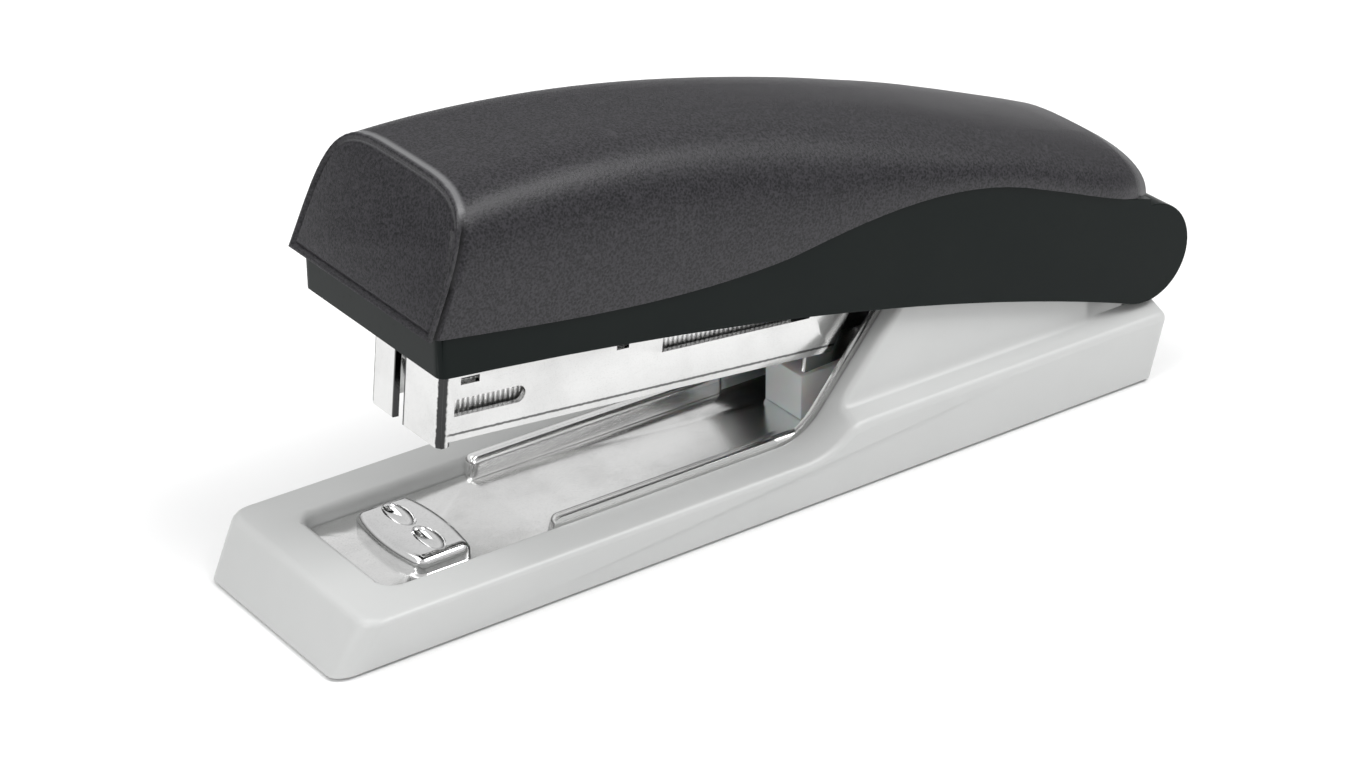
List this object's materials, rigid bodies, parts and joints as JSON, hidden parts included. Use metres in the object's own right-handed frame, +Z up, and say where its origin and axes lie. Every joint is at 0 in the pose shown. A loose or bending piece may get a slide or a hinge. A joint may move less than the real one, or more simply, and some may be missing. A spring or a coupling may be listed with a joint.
{
  "type": "desk stapler",
  "caption": "Half-strip desk stapler: long grey base, sprung staple magazine over a chrome anvil, and a curved dark head on one rear hinge.",
  "frame": {"origin": "middle of the overall box, on the table under the rubber feet", "axes": "+X towards the hinge, nose at -X; +Y across, parallel to the hinge pin; +Z up"},
  "size_m": [0.131, 0.033, 0.0558],
  "materials": {
    "cover_plastic": "fine spark-eroded grain, charcoal grey",
    "skirt_plastic": "smooth satin, near black",
    "base_plastic": "satin light grey",
    "block_plastic": "milky white",
    "foot_rubber": "matte",
    "plated_steel": "bright nickel plating, lightly brushed",
    "anvil_chrome": "polished chrome",
    "staple_wire": "bright drawn wire",
    "spring_steel": "dark drawn spring wire",
    "blackened_steel": "oiled black oxide"
  },
  "bodies": {
    "base": {"base_shell": "base_plastic", "rubber_feet": "foot_rubber", "base_plate": "plated_steel", "plate_screws": "plated_steel", "anvil": "anvil_chrome", "anvil_rivet": "plated_steel", "spring_block": "block_plastic", "return_spring": "spring_steel", "hinge_pin": "plated_steel", "pin_clip": "blackened_steel"},
    "magazine": {"magazine": "plated_steel", "staple_rail": "plated_steel", "rail_rivets": "plated_steel", "staple_strip": "staple_wire", "pusher_spring": "spring_steel", "spring_hook": "plated_steel", "lift_bracket": "plated_steel"},
    "pusher": {"pusher": "blackened_steel"},
    "spring_carrier": {"hinge_spacer": "plated_steel", "head_spring": "spring_steel"},
    "head": {"handle_frame": "plated_steel", "driver_blade": "blackened_steel", "driver_rivets": "blackened_steel", "head_trim": "skirt_plastic", "head_cover": "cover_plastic", "cover_screws": "plated_steel"}
  },
  "joints": [
    {"name": "magazine_hinge", "type": "hinge", "parent": "base", "child": "magazine", "pos_m": [0.0585, 0, 0.0192], "axis": [0, 1, 0], "range_deg": [-7.6, 0], "stiffness_Nm_per_rad": 0.5, "springref_deg": 17.19, "deforming": ["return_spring"]},
    {"name": "pusher_slide", "type": "slide", "parent": "magazine", "child": "pusher", "axis": [0.9952, 0, -0.0976], "range_m": [0, 0.011], "stiffness_N_per_m": 30, "springref_m": -0.05, "deforming": ["pusher_spring"]},
    {"name": "drive_stroke", "type": "hinge", "parent": "magazine", "child": "spring_carrier", "pos_m": [0.0585, 0, 0.0192], "axis": [0, 1, 0], "range_deg": [-4, 0], "stiffness_Nm_per_rad": 2, "springref_deg": 5.73, "deforming": ["head_spring"]},
    {"name": "head_opening", "type": "hinge", "parent": "spring_carrier", "child": "head", "pos_m": [0.0585, 0, 0.0192], "axis": [0, 1, 0], "range_deg": [0, 75]}
  ]
}
